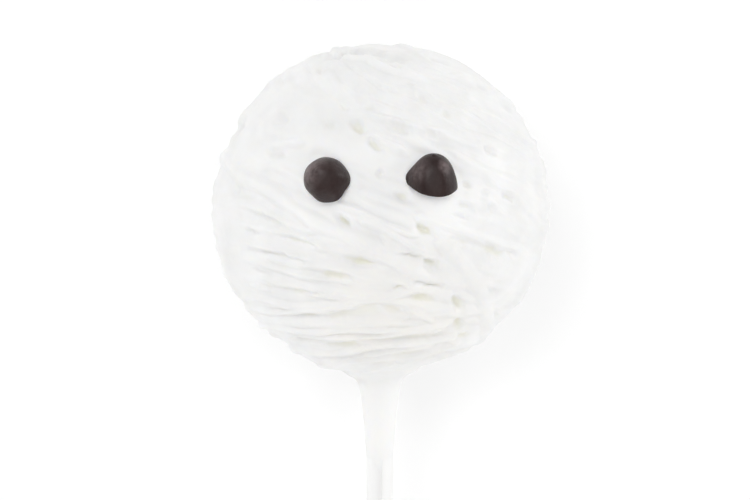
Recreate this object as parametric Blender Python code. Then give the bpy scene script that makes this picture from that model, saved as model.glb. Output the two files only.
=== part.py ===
"""A white coated cake pop wrapped in drizzled strands, with two chocolate chips, on a rolled paper stick.

The pop lies on its back. The face with the chips looks up (+Z), the crown points to +Y, and the stick
slopes down to -Y until its far end touches the surface. The origin is the middle of the flat spot that
the ball rests on.
"""
import math
import random
from collections import namedtuple

import bmesh
import bpy
from mathutils import Matrix, Vector

MM = 0.001

# Coated ball: half widths across, from stick to crown, and from back to face
BALL_HALF = Vector((20.85, 20.5, 20.2)) * MM
BALL_MERIDIANS = 24
BALL_PARALLELS = 16
BALL_HEIGHT = 20.0 * MM
BALL_CENTRE = Vector((0, 0, BALL_HEIGHT))

# Stick of rolled paper, pushed in as far as the middle of the ball
STICK_DIAMETER = 3.5 * MM
STICK_LENGTH = 114 * MM
STICK_CHAMFER = 0.25 * MM
STICK_SIDES = 24
FIT_GAP = 0.3 * MM

# Collar of coating that ran down on the stick: distance from the ball's centre, radius
COLLAR_PROFILE = [(17.5, 6.6), (20.0, 5.0), (21.2, 3.9), (22.0, 3.2), (23.4, 2.72), (26.0, 2.45), (29.4, 2.26)]

# Section of a drizzled strand: share of its width across, share of its height above the coating
STRAND_SECTION = [(-0.5, 0.0), (-0.26, 0.9), (0.26, 0.9), (0.5, 0.0)]
STRAND_ROOT = 0.35 * MM
# share of a strand's height left above the coating, as the strand sinks in before it sets
STRAND_SINK = 0.8
STRAND_STEP = 3.6 * MM

# A strand thins over its last stretch, to a share of its width and a trace of its height
STRAND_FADE = 2.4 * MM
STRAND_TIP_WIDTH = 0.35
STRAND_TIP_HEIGHT = 0.08 * MM

# A hand-held drizzle wanders sideways and swells and thins by chance
STRAND_WOBBLE = 0.22 * MM
STRAND_SWELL = 0.12
WOBBLE_LENGTH = 13 * MM
SWELL_LENGTH = 6.5 * MM
# where along its waves a strand starts: by its offset and slope, and by its offset and lean
WOBBLE_START = (0.37, 0.13)
SWELL_START = (0.71, 0.29)
SEED = 31

# A strand lies where a plane cuts the ball. slope: degrees that it climbs to the right across the face.
# lean: degrees that the plane tips from the crown towards the face. offset: mm of the plane above the
# ball's centre. start, end: degrees round the cut, 0 at the right edge, 90 on the face, 180 at the left.
Strand = namedtuple("Strand", "slope lean offset start end width height")

FACE_STRANDS = [
    # over the crown and down its left side
    Strand(-20, 3, 17.0, 44, 206, 1.5, 0.7),
    Strand(10, 11, 12.0, 106, 204, 1.4, 0.6),
    Strand(-44, 6, 7.9, 114, 208, 2.8, 0.6),
    Strand(-55, 5, 0.4, 124, 226, 2.0, 0.5),
    # brow, falling to the right
    Strand(-32, 3, 16.8, -20, 92, 1.5, 0.7),
    Strand(-27, 3, 13.4, 16, 112, 1.6, 0.7),
    Strand(-15, -2, 9.3, -24, 116, 1.6, 0.7),
    Strand(-23, -4, 7.7, -10, 84, 1.7, 0.7),
    Strand(-42, 3, 12.0, -14, 78, 1.7, 0.7),
    # left cheek
    Strand(-15, 9, 6.5, 122, 218, 1.8, 0.6),
    Strand(-5, 5, 4.5, 124, 236, 1.6, 0.6),
    # thick diagonal under the left chip, and the strands beside it to the right
    Strand(-24, 5, -1.0, 62, 104, 1.4, 0.7),
    Strand(-27, 6, -3.0, 58, 212, 2.7, 0.9),
    Strand(-20, 3, -5.2, 52, 98, 1.8, 0.8),
    Strand(-36, 4, 8.8, -44, 70, 1.7, 0.7),
    Strand(-18, -3, -0.9, -36, 88, 1.7, 0.8),
    Strand(-18, 5, -2.2, -28, 60, 1.7, 0.7),
    Strand(-6, -1, -8.5, -40, 60, 1.7, 0.7),
    Strand(-32, 3, -8.0, 38, 70, 1.5, 0.8),
    Strand(-60, -5, 2.2, -34, 70, 3.1, 0.8),
    # fan that wraps the left and runs together at the lower right
    Strand(-16, 0, -6.6, 93, 228, 1.5, 0.7),
    Strand(-13, 1, -8.0, 100, 196, 1.2, 0.7),
    Strand(-12, 2, -9.4, 84, 242, 1.5, 0.8),
    Strand(-2, 8, -8.6, 94, 214, 1.5, 0.7),
    Strand(-1, 6, -10.8, 88, 236, 1.5, 0.8),
    Strand(15, 2, -10.2, 72, 122, 1.5, 0.7),
    Strand(2, 4, -14.0, 48, 226, 1.6, 0.8),
    Strand(8, 6, -15.8, 40, 212, 1.5, 0.7),
    Strand(8, 1, -17.6, 30, 240, 1.6, 0.7),
    Strand(9, 4, -18.8, 0, 228, 1.5, 0.7),
]

# Strands on the back: spread evenly from crown to stick, each a little off by chance (mm, degrees)
BACK_STRANDS = 12
BACK_SPAN = 17.4
BACK_SLOPE = 16
BACK_LEAN = 10
BACK_SWEEP = (196, 344)
BACK_STAGGER = 14
BACK_WIDTH = (1.3, 1.9)
BACK_HEIGHT = (0.7, 0.9)

# Chocolate chips: where the middle of the base lies from the ball's centre (mm), its radius and height,
# and the way the point faces. The right chip leans on its flank, with its lower rim standing out.
Chip = namedtuple("Chip", "name base radius height axis")
CHIPS = [
    Chip("chip_left", (-6.5, 2.75, 19.2), 3.0, 3.7, (-0.30, 0.40, 0.866)),
    Chip("chip_right", (6.1, 2.4, 19.2), 3.2, 4.1, (0.22, 0.83, 0.51)),
]

# Section of a chip: the radius falls as (1 - share of height ^ shoulder) ^ taper, over a rounded rim
CHIP_SHOULDER = 1.8
CHIP_TAPER = 0.56
CHIP_RIM = 0.3 * MM
CHIP_RIM_HEIGHT = 0.18 * MM
CHIP_SIDES = 20
CHIP_RINGS = 7
CHIP_TIP = 0.35

SHARP_ANGLE = math.radians(38)

COATING = {"name": "white_coating", "colour": (0.90, 0.89, 0.865), "roughness": 0.45}
CHOCOLATE = {"name": "dark_chocolate", "colour": (0.042, 0.027, 0.023), "roughness": 0.38}
PAPER = {"name": "white_paper", "colour": (0.92, 0.92, 0.91), "roughness": 0.7}


def clear_scene():
    for item in list(bpy.data.objects):
        bpy.data.objects.remove(item)


def finish(item, look):
    """Gives an object its material and smooth shading."""
    material = bpy.data.materials.get(look["name"]) or bpy.data.materials.new(look["name"])
    material.use_nodes = True
    shader = material.node_tree.nodes["Principled BSDF"]
    shader.inputs["Base Color"].default_value = (*look["colour"], 1)
    shader.inputs["Roughness"].default_value = look["roughness"]
    shader.inputs["Metallic"].default_value = 0
    item.data.materials.clear()
    item.data.materials.append(material)
    item.data.shade_smooth()
    item.data.set_sharp_from_angle(angle=SHARP_ANGLE)


def object_from(shape, name, collection=None):
    """Turns a bmesh into a linked object with its faces pointing out."""
    bmesh.ops.recalc_face_normals(shape, faces=shape.faces)
    mesh = bpy.data.meshes.new(name)
    shape.to_mesh(mesh)
    shape.free()
    item = bpy.data.objects.new(name, mesh)
    (collection or bpy.context.scene.collection).objects.link(item)
    return item


def skin(rings, name, collection=None):
    """A closed body through rings of points, each ring closed on itself, with flat ends."""
    shape = bmesh.new()
    loops = [[shape.verts.new(point) for point in ring] for ring in rings]
    for low, high in zip(loops, loops[1:]):
        for n in range(len(low)):
            m = (n + 1) % len(low)
            shape.faces.new((low[n], low[m], high[m], high[n]))
    shape.faces.new(loops[0])
    shape.faces.new(loops[-1])
    return object_from(shape, name, collection)


def turned(profile, sides, axis, start, name, collection=None):
    """A body turned about an axis: profile holds (distance along the axis, radius)."""
    place = Matrix.Translation(start) @ Vector(axis).to_track_quat("Z", "Y").to_matrix().to_4x4()
    rings = []
    for along, radius in profile:
        angles = [2 * math.pi * n / sides for n in range(sides)]
        rings.append([place @ Vector((radius * math.cos(a), radius * math.sin(a), along)) for a in angles])
    return skin(rings, name, collection)


def boolean(item, operation, collection=None, cutter=None):
    """Applies a union with a collection, or a cut by one body, and removes what it used."""
    step = item.modifiers.new("join", "BOOLEAN")
    step.operation = operation
    step.solver = "EXACT"
    if collection:
        step.operand_type = "COLLECTION"
        step.collection = collection
    else:
        step.object = cutter
    bpy.context.view_layer.update()
    result = bpy.data.meshes.new_from_object(item.evaluated_get(bpy.context.evaluated_depsgraph_get()))
    item.modifiers.clear()
    item.data = result
    used = list(collection.objects) if collection else [cutter]
    for other in used:
        bpy.data.objects.remove(other)
    if collection:
        bpy.data.collections.remove(collection)


def stick_axis():
    """Direction of the stick: it slopes down until the lower edge of its far end touches the surface."""
    radius = STICK_DIAMETER / 2
    reach = math.hypot(STICK_LENGTH, radius)
    slope = math.asin(BALL_HEIGHT / reach) - math.atan(radius / STICK_LENGTH)
    return Vector((0, -math.cos(slope), -math.sin(slope)))


def on_ball(direction, height):
    """Point at a height above the bare coating, in a direction from the ball's centre."""
    surface = Vector(a * b for a, b in zip(direction, BALL_HALF))
    return BALL_CENTRE + surface + direction * height


def strand_body(strand, number, collection):
    """Sweeps the flattened section of one strand round the ball, thinning out at both ends."""
    slope, lean = math.radians(strand.slope), math.radians(strand.lean)
    normal = Vector((-math.sin(slope) * math.cos(lean), math.cos(slope) * math.cos(lean), math.sin(lean)))
    right = Vector((math.cos(slope), math.sin(slope), 0))
    front = right.cross(normal)
    ball = BALL_HALF.x
    offset = strand.offset * MM / ball
    around = math.sqrt(1 - offset * offset)
    sweep = math.radians(strand.end - strand.start)
    length = sweep * around * ball
    steps = max(6, round(length / STRAND_STEP))
    wobble_start = strand.offset * WOBBLE_START[0] + strand.slope * WOBBLE_START[1]
    swell_start = strand.offset * SWELL_START[0] + strand.lean * SWELL_START[1]
    rings = []
    for n in range(steps + 1):
        along = length * n / steps
        angle = math.radians(strand.start) + sweep * n / steps
        wobble = STRAND_WOBBLE * math.sin(math.tau * (wobble_start + along / WOBBLE_LENGTH))
        swell = 1 + STRAND_SWELL * math.sin(math.tau * (swell_start + along / SWELL_LENGTH))
        fade = min(1, min(along, length - along) / STRAND_FADE)
        circle = right * math.cos(angle) + front * math.sin(angle)
        out = (normal * (offset + wobble / ball) + circle * around).normalized()
        side = (normal - out * normal.dot(out)).normalized()
        width = strand.width * MM * swell * (STRAND_TIP_WIDTH + (1 - STRAND_TIP_WIDTH) * fade)
        height = strand.height * STRAND_SINK * MM * swell * fade + STRAND_TIP_HEIGHT
        ring = [on_ball(out, height * up) + side * width * across for across, up in STRAND_SECTION]
        rings.append(ring + [on_ball(out, -STRAND_ROOT)])
    return skin(rings, f"strand_{number}", collection)


def back_strands():
    """Rows of strands across the back, where the same hand went round and round."""
    chance = random.Random(SEED)
    rows = []
    for n in range(BACK_STRANDS):
        offset = BACK_SPAN - 2 * BACK_SPAN * n / (BACK_STRANDS - 1)
        slope = chance.uniform(-BACK_SLOPE, BACK_SLOPE / 2)
        lean = chance.uniform(-BACK_LEAN, BACK_LEAN)
        start, end = (edge + chance.uniform(-BACK_STAGGER, BACK_STAGGER) for edge in BACK_SWEEP)
        width, height = chance.uniform(*BACK_WIDTH), chance.uniform(*BACK_HEIGHT)
        rows.append(Strand(slope, lean, offset, start, end, width, height))
    return rows


def chip_profile(chip, grow):
    """Drop shape of a chip, from its base to its blunt point, grown all round by a clearance."""
    radius, height = chip.radius * MM, chip.height * MM
    profile = [(-grow, radius - CHIP_RIM + grow / 2), (CHIP_RIM_HEIGHT, radius + grow)]
    for n in range(1, CHIP_RINGS + 1):
        share = math.sin(math.pi / 2 * n / (CHIP_RINGS + CHIP_TIP))
        wide = radius * (1 - share ** CHIP_SHOULDER) ** CHIP_TAPER
        profile.append(((height + grow) * share, wide + grow))
    return profile


def chip_body(chip, name, grow=0.0):
    start = BALL_CENTRE + Vector(chip.base) * MM
    return turned(chip_profile(chip, grow), CHIP_SIDES, chip.axis, start, name)


def build_stick(axis):
    radius = STICK_DIAMETER / 2
    profile = [
        (0, radius - STICK_CHAMFER),
        (STICK_CHAMFER, radius),
        (STICK_LENGTH - STICK_CHAMFER, radius),
        (STICK_LENGTH, radius - STICK_CHAMFER),
    ]
    finish(turned(profile, STICK_SIDES, axis, BALL_CENTRE, "stick"), PAPER)


def build_coated_ball(axis):
    """The ball of coated cake with its strands and collar fused on, then its flat spot and sockets cut."""
    shape = bmesh.new()
    bmesh.ops.create_uvsphere(shape, u_segments=BALL_MERIDIANS, v_segments=BALL_PARALLELS, radius=1)
    turn = axis.to_track_quat("Z", "Y").to_matrix().to_4x4()
    place = Matrix.Translation(BALL_CENTRE) @ Matrix.Diagonal((*BALL_HALF, 1)) @ turn
    bmesh.ops.transform(shape, matrix=place, verts=shape.verts)
    ball = object_from(shape, "coated_ball")
    drizzle = bpy.data.collections.new("drizzle")
    bpy.context.scene.collection.children.link(drizzle)
    for number, strand in enumerate(FACE_STRANDS + back_strands()):
        strand_body(strand, number, drizzle)
    collar = [(along * MM, radius * MM) for along, radius in COLLAR_PROFILE]
    turned(collar, STICK_SIDES, axis, BALL_CENTRE, "collar", drizzle)
    boolean(ball, "UNION", collection=drizzle)

    shape = bmesh.new()
    size = 4 * BALL_HEIGHT
    bmesh.ops.create_cube(shape, size=size, matrix=Matrix.Translation((0, 0, -size / 2)))
    boolean(ball, "DIFFERENCE", cutter=object_from(shape, "floor_cutter"))
    radius = STICK_DIAMETER / 2 + FIT_GAP
    bore = [(-FIT_GAP, radius), (STICK_LENGTH / 2, radius)]
    boolean(ball, "DIFFERENCE", cutter=turned(bore, STICK_SIDES, axis, BALL_CENTRE, "socket_cutter"))
    for chip in CHIPS:
        boolean(ball, "DIFFERENCE", cutter=chip_body(chip, chip.name + "_cutter", FIT_GAP))
    drop_scraps(ball)
    finish(ball, COATING)


def drop_scraps(item):
    """Keeps the largest body of the mesh and removes any loose scrap."""
    shape = bmesh.new()
    shape.from_mesh(item.data)
    left = set(shape.verts)
    bodies = []
    while left:
        body, edge = set(), [left.pop()]
        while edge:
            vert = edge.pop()
            body.add(vert)
            near = [e.other_vert(vert) for e in vert.link_edges]
            fresh = [v for v in near if v in left]
            left.difference_update(fresh)
            edge.extend(fresh)
        bodies.append(body)
    bodies.sort(key=len)
    scraps = [vert for body in bodies[:-1] for vert in body]
    bmesh.ops.delete(shape, geom=scraps, context="VERTS")
    shape.to_mesh(item.data)
    shape.free()


clear_scene()
axis = stick_axis()
build_coated_ball(axis)
build_stick(axis)
for chip in CHIPS:
    finish(chip_body(chip, chip.name), CHOCOLATE)
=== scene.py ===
"""A white coated cake pop wrapped in drizzled strands, with two chocolate chips, on a paper stick."""
import math
import random
from collections import namedtuple

import bmesh
import bpy
import numpy as np
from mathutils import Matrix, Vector


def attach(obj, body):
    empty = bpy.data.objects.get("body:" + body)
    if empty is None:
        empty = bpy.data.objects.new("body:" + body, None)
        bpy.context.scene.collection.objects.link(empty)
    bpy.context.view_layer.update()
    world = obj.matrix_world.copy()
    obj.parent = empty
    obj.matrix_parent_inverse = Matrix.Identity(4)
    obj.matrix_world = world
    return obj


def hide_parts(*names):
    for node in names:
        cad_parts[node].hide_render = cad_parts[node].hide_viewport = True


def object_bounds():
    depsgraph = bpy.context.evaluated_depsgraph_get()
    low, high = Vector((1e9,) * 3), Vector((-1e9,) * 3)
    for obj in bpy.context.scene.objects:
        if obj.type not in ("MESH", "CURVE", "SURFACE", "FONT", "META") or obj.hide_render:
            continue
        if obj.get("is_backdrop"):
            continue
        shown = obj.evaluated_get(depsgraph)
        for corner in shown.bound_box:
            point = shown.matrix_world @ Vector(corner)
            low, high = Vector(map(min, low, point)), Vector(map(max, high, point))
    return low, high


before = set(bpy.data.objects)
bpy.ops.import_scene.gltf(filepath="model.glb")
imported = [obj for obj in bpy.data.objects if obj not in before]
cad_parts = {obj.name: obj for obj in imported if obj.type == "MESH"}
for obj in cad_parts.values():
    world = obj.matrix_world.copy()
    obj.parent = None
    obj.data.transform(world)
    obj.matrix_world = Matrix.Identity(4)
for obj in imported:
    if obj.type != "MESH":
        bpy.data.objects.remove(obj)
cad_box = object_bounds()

# Bare ball. Cake crumb rolled by hand and dipped once in melted white coating, which ran down the stick
# and set as a collar. It is one closed skin, finest on the face, where the strands are laid afterwards.
# Sizes are in mm, and MM turns them into metres.
MM = 0.001
BALL_HALF = np.array([21.1, 20.85, 20.3])
STICK_SIDE_HALF = 21.05
BALL_HEIGHT = 20.0
BALL_CENTRE = np.array([0, 0, BALL_HEIGHT])
STICK_RADIUS = 1.75
STICK_LENGTH = 114.0
# the stick slopes down from the ball's centre until its far end touches what the pop lies on
stick_slope = math.asin(BALL_HEIGHT / math.hypot(STICK_LENGTH, STICK_RADIUS))
stick_slope -= math.atan(STICK_RADIUS / STICK_LENGTH)
stick_axis = np.array([0, -math.cos(stick_slope), -math.sin(stick_slope)])

SKIN_CELLS = 126
FACE_PULL = 0.25
# angles off the stick, seen from the ball's centre: where the ball's own round goes on from the collar,
# and where the skin stops being drawn out towards it
BALL_FROM = math.radians(15)
COLLAR_REACH = math.radians(40)
BALL_STEPS = 60
CORNER_CUT = 0.25
CORNER_ROUNDS = 4
TINY = 1e-9
# distance from the ball's centre and radius of the collar, from inside the stick up to the ball (mm)
COLLAR = [(35.4, 0.0), (36.2, 0.8), (36.6, 1.2), (34.2, 1.6), (31.6, 1.82), (29.2, 1.97),
          (26.8, 2.17), (24.6, 2.42), (23.2, 2.62), (22.3, 2.9), (21.7, 3.5), (21.2, 4.6)]
# slight dents and swellings of the hand rolled ball: degrees round the face from the right, degrees that
# each one spreads, and mm that it rises
DENTS = [(84, 8, -0.45), (110, 13, -0.55), (157, 12, -0.55), (206, 6, 0.3), (251, 10, 0.42)]
DENT_FADE = 4
# strands rise from nothing on the collar to their full height on the ball
GRIP_GAIN = 2.6
GRIP_DELAY = 0.9


def rounded(line):
    """Cuts the corners of a line of points again and again, so that it runs as a smooth curve."""
    line = np.array(line, float)
    for _ in range(CORNER_ROUNDS):
        near = line[:-1] * (1 - CORNER_CUT) + line[1:] * CORNER_CUT
        far = line[:-1] * CORNER_CUT + line[1:] * (1 - CORNER_CUT)
        line = np.concatenate([line[:1], np.stack([near, far], 1).reshape(-1, 2), line[-1:]])
    return line


def cube_grid():
    """The grid of a cube, which is blown up to the ball."""
    shape = bmesh.new()
    bmesh.ops.create_cube(shape, size=2)
    bmesh.ops.subdivide_edges(shape, edges=shape.edges, cuts=SKIN_CELLS - 1, use_grid_fill=True)
    mesh = bpy.data.meshes.new("coating")
    shape.to_mesh(mesh)
    shape.free()
    return mesh


def ways_out(mesh):
    """Ways from the ball's centre to the grid's points, evened out and then drawn towards the face."""
    flat = np.empty(len(mesh.vertices) * 3)
    mesh.vertices.foreach_get("co", flat)
    way = np.tan(flat.reshape(-1, 3) * math.pi / 4)
    way /= np.linalg.norm(way, axis=1, keepdims=True)
    reach = 1 + FACE_PULL * way[:, 2]
    way[:, :2] *= math.sqrt(1 - FACE_PULL ** 2) / reach[:, None]
    way[:, 2] = (way[:, 2] + FACE_PULL) / reach
    return way


def with_collar(way, off_stick):
    """Places in mm from the ball's centre: an oval ball whose stick side is pulled out as the collar."""
    ball = STICK_SIDE_HALF
    turns = np.linspace(BALL_FROM, COLLAR_REACH, BALL_STEPS)
    line = rounded(COLLAR + [(ball * math.cos(a), ball * math.sin(a)) for a in turns])
    length = np.concatenate([[0], np.cumsum(np.linalg.norm(np.diff(line, axis=0), axis=1))])
    pace = ball * COLLAR_REACH / length[-1]
    share = np.clip(off_stick, 0, 1)
    run = length[-1] * (share * (2 - pace) - share ** 2 * (1 - pace))
    along, wide = np.interp(run, length, line[:, 0]), np.interp(run, length, line[:, 1])
    side = way - (way @ stick_axis)[:, None] * stick_axis
    side /= np.maximum(np.linalg.norm(side, axis=1, keepdims=True), TINY)
    near = along[:, None] * stick_axis + wide[:, None] * side
    half = np.where(way[:, 1:2] > 0, BALL_HALF, (BALL_HALF[0], STICK_SIDE_HALF, BALL_HALF[2]))
    return np.where(off_stick[:, None] < 1, near * (1 + share[:, None] * (half / ball - 1)), way * half)


def dented(point):
    """Pushes the ball's outline in and out, and leaves the middle of its face and back as they are."""
    wide = np.linalg.norm(point[:, :2], axis=1)
    angle = np.degrees(np.arctan2(point[:, 1], point[:, 0]))
    rise = np.zeros(len(point))
    for place, spread, size in DENTS:
        off = (angle - place + 180) % 360 - 180
        rise += size * np.exp(-(off / spread) ** 2)
    rise *= np.minimum(wide / STICK_SIDE_HALF, 1) ** DENT_FADE
    point[:, :2] *= 1 + (rise / np.maximum(wide, 1))[:, None]
    return point


def shown(name, data):
    """Puts a mesh, a lamp or a camera in the scene as an object."""
    item = bpy.data.objects.new(name, data)
    bpy.context.scene.collection.objects.link(item)
    return item


def bare_skin():
    """The ball's skin, which remembers each point's way out, its spot in mm and its hold on the strands."""
    mesh = cube_grid()
    way = ways_out(mesh)
    off_stick = np.arccos(np.clip(way @ stick_axis, -1, 1)) / COLLAR_REACH
    point = dented(with_collar(way, off_stick))
    mesh.vertices.foreach_set("co", ((point + BALL_CENTRE) * MM).ravel())
    for name, vectors in (("way", way), ("spot", point)):
        mesh.attributes.new(name, "FLOAT_VECTOR", "POINT").data.foreach_set("vector", vectors.ravel())
    grip = np.clip(off_stick * GRIP_GAIN - GRIP_DELAY, 0, 1)
    mesh.attributes.new("grip", "FLOAT", "POINT").data.foreach_set("value", grip)
    mesh.update()
    return shown("coating", mesh)


coating = bare_skin()

# Drizzled strands. The same coating, trailed from a bag round and round the set ball. Each strand lies
# where a plane cuts the ball, sinks a little, rides over those below it and fuses with them as it sets.
BALL_ROUND = 20.8
STRAND_FADE = 4.0
STRAND_TIP_WIDTH = 0.35
STRAND_WOBBLE = 0.22
WOBBLE_LENGTH = 13
STRAND_SWELL = 0.12
SWELL_LENGTH = 6.5
STRAND_RIDE = 0.55
RIDE_BLUR = 14
STRAND_SINK = 0.7
STRAND_MELT = 0.2
# shares of a strand's offset and of its slope or lean that set where it starts in its wobble and swell
WOBBLE_START = (0.37, 0.13)
SWELL_START = (0.71, 0.29)

# slope: degrees that it climbs to the right. lean: degrees that its plane tips to the face. offset: mm
# of the plane above the centre. start, end: degrees round the cut, 0 right, 90 face, 180 left. The width
# and height are in mm.
Strand = namedtuple("Strand", "slope lean offset start end width height")


class Nodes:
    """A node tree, grown one node at a time."""

    def __init__(self, tree):
        self.tree = tree

    def node(self, kind, *values, **settings):
        """Adds a node, gives its inputs links or values in order, and returns its first output."""
        made = self.tree.nodes.new(kind)
        for name, setting in settings.items():
            setattr(made, name, setting)
        for socket, value in zip([s for s in made.inputs if s.enabled], values):
            if isinstance(value, bpy.types.NodeSocket):
                self.tree.links.new(value, socket)
            elif value is not None:
                socket.default_value = value
        return next(s for s in made.outputs if s.enabled)

    def math(self, operation, *values):
        return self.node("ShaderNodeMath", *values, operation=operation)

    def spread(self, value, start, end, low, high, **settings):
        """Turns a value between start and end into one between low and high."""
        return self.node("ShaderNodeMapRange", value, start, end, low, high, **settings)


class Shaping(Nodes):
    """A Geometry Nodes tree with named sizes."""

    def __init__(self, name, sizes):
        super().__init__(bpy.data.node_groups.new(name, "GeometryNodeTree"))
        face = self.tree.interface
        face.new_socket("Geometry", in_out="INPUT", socket_type="NodeSocketGeometry")
        for size in sizes:
            face.new_socket(size, in_out="INPUT", socket_type="NodeSocketFloat")
        face.new_socket("Geometry", in_out="OUTPUT", socket_type="NodeSocketGeometry")
        self.given = self.tree.nodes.new("NodeGroupInput").outputs

    def read(self, name, kind="FLOAT"):
        return self.node("GeometryNodeInputNamedAttribute", name, data_type=kind)

    def with_height(self, geometry, height):
        """Keeps the coating's height over the bare skin, in mm, at each point."""
        return self.node("GeometryNodeStoreNamedAttribute", geometry, None, "height", height,
                         data_type="FLOAT", domain="POINT")

    def parts(self, vector):
        return self.node("ShaderNodeSeparateXYZ", vector).node.outputs

    def front(self):
        """How far a point of the skin looks to the front: 1 at the middle of the face, -1 at the back."""
        return self.parts(self.read("way", "FLOAT_VECTOR"))[2]

    def turned_back(self, vector, *turn):
        """Undoes a turn, so that what was turned lies straight."""
        return self.node("ShaderNodeVectorRotate", vector, None, self.node("ShaderNodeCombineXYZ", *turn),
                         rotation_type="EULER_XYZ", invert=True)

    def use(self, group, geometry, **sizes):
        """Puts a smaller tree in this one, with its sizes set by name."""
        step = self.tree.nodes.new("GeometryNodeGroup")
        step.node_tree = group
        self.tree.links.new(geometry, step.inputs["Geometry"])
        for name, size in sizes.items():
            step.inputs[name].default_value = size
        return step.outputs[0]

    def end(self, geometry):
        self.tree.links.new(geometry, self.tree.nodes.new("NodeGroupOutput").inputs[0])
        return self.tree


def strand_tree():
    """Lays one strand: raises the coating's height where the strand lies."""
    tree = Shaping("drizzled_strand", ("Slope", "Lean", "Offset", "Middle", "Half", "Width", "Height",
                                       "Wobble", "Swell"))
    given, math_ = tree.given, tree.math
    right, up, front = tree.parts(tree.turned_back(tree.read("way", "FLOAT_VECTOR"), given["Lean"], 0.0,
                                                   given["Slope"]))
    off = math_("DIVIDE", given["Offset"], BALL_ROUND)
    ring = math_("SQRT", math_("SUBTRACT", 1.0, math_("MULTIPLY", off, off)))
    ring = math_("MULTIPLY", ring, BALL_ROUND)
    turned = math_("SUBTRACT", math_("ARCTAN2", front, right), given["Middle"])
    turned = math_("WRAP", turned, math.pi, -math.pi)
    run = math_("MULTIPLY", math_("ADD", turned, given["Half"]), ring)
    left = math_("MULTIPLY", math_("SUBTRACT", given["Half"], math_("ABSOLUTE", turned)), ring)
    fade = tree.node("ShaderNodeMath", left, STRAND_FADE, operation="DIVIDE", use_clamp=True)

    def wave(start, length, size):
        """A slow wave along the strand."""
        phase = math_("ADD", start, math_("DIVIDE", run, length))
        return math_("MULTIPLY", math_("SINE", math_("MULTIPLY", phase, math.tau)), size)

    bent = math_("ADD", off, wave(given["Wobble"], WOBBLE_LENGTH, STRAND_WOBBLE / BALL_ROUND))
    across = math_("SUBTRACT", math_("ARCSINE", up), math_("ARCSINE", bent))
    across = math_("MULTIPLY", across, 2 * BALL_ROUND)
    swell = math_("ADD", 1.0, wave(given["Swell"], SWELL_LENGTH, STRAND_SWELL))
    thin = math_("MULTIPLY_ADD", fade, 1 - STRAND_TIP_WIDTH, STRAND_TIP_WIDTH)
    width = math_("MULTIPLY", math_("MULTIPLY", given["Width"], swell), thin)
    share = math_("DIVIDE", across, width)
    crown = math_("MULTIPLY", math_("MULTIPLY", given["Height"], swell), fade)
    fall = math_("MULTIPLY", math_("MULTIPLY", share, share), math_("ADD", crown, STRAND_MELT))
    height = tree.read("height")
    ride = math_("MULTIPLY", tree.node("GeometryNodeBlurAttribute", height, RIDE_BLUR), STRAND_RIDE)
    top = math_("ADD", math_("ADD", ride, crown), math_("SUBTRACT", fade, 1.0))
    top = math_("SUBTRACT", top, fall)
    return tree.end(tree.with_height(given["Geometry"], math_("SMOOTH_MAX", height, top, STRAND_MELT)))


strand_group = strand_tree()
drizzle = Shaping("wrapped_coating", ("Relief", "Face relief", "Unevenness"))


def lay(geometry, strands):
    """Lays strands one after another."""
    for strand in strands:
        geometry = drizzle.use(
            strand_group, geometry,
            Slope=math.radians(strand.slope),
            Lean=math.radians(strand.lean),
            Offset=strand.offset,
            Middle=math.radians(strand.start + strand.end) / 2,
            Half=math.radians(strand.end - strand.start) / 2,
            Width=strand.width,
            Height=strand.height * STRAND_SINK,
            Wobble=(strand.offset * WOBBLE_START[0] + strand.slope * WOBBLE_START[1]) % 1,
            Swell=(strand.offset * SWELL_START[0] + strand.lean * SWELL_START[1]) % 1,
        )
    return geometry


# First strands, now mostly hidden. The same coating, laid broad and sunk in, and spread evenly from
# crown to stick. On the face they fall to the right, and fan out towards the stick.
FIRST_STRANDS = 22
FIRST_SPAN = 19.4
FIRST_SLOPE = -22
FIRST_SLOPE_SPREAD = 7
FIRST_FAN = 26
FIRST_FAN_REACH = 16
FIRST_MIDDLE = 90
FIRST_MIDDLE_SPREAD = 40
FIRST_SWEEP = 178
FIRST_LEAN = (-2, 8)
FIRST_WIDTH = (1.9, 3.0)
FIRST_HEIGHT = (0.35, 0.5)
FIRST_SEED = 32


def first_strands():
    """Broad strands that go nearly all the way round."""
    chance = random.Random(FIRST_SEED)
    rows = []
    for n in range(FIRST_STRANDS):
        offset = FIRST_SPAN - 2 * FIRST_SPAN * n / (FIRST_STRANDS - 1)
        fan = FIRST_FAN * min(1, max(0, -offset / FIRST_FAN_REACH))
        slope = FIRST_SLOPE + fan + chance.uniform(-FIRST_SLOPE_SPREAD, FIRST_SLOPE_SPREAD)
        middle = FIRST_MIDDLE + chance.uniform(-FIRST_MIDDLE_SPREAD, FIRST_MIDDLE_SPREAD)
        width = chance.uniform(*FIRST_WIDTH)
        height = chance.uniform(*FIRST_HEIGHT)
        lean = chance.uniform(*FIRST_LEAN)
        rows.append(Strand(slope, lean, offset, middle - FIRST_SWEEP, middle + FIRST_SWEEP, width, height))
    return rows


# Back strands. The same coating in rows across the back of the ball, where the same hand went round and
# round. They lie at slightly different slopes and end at different places on the sides.
BACK_STRANDS = 12
BACK_SPAN = 17.4
BACK_SLOPE = 16
BACK_LEAN = 10
BACK_SWEEP = (196, 344)
BACK_STAGGER = 14
BACK_WIDTH = (1.3, 1.9)
BACK_HEIGHT = (0.7, 0.9)
BACK_SEED = 31


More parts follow.
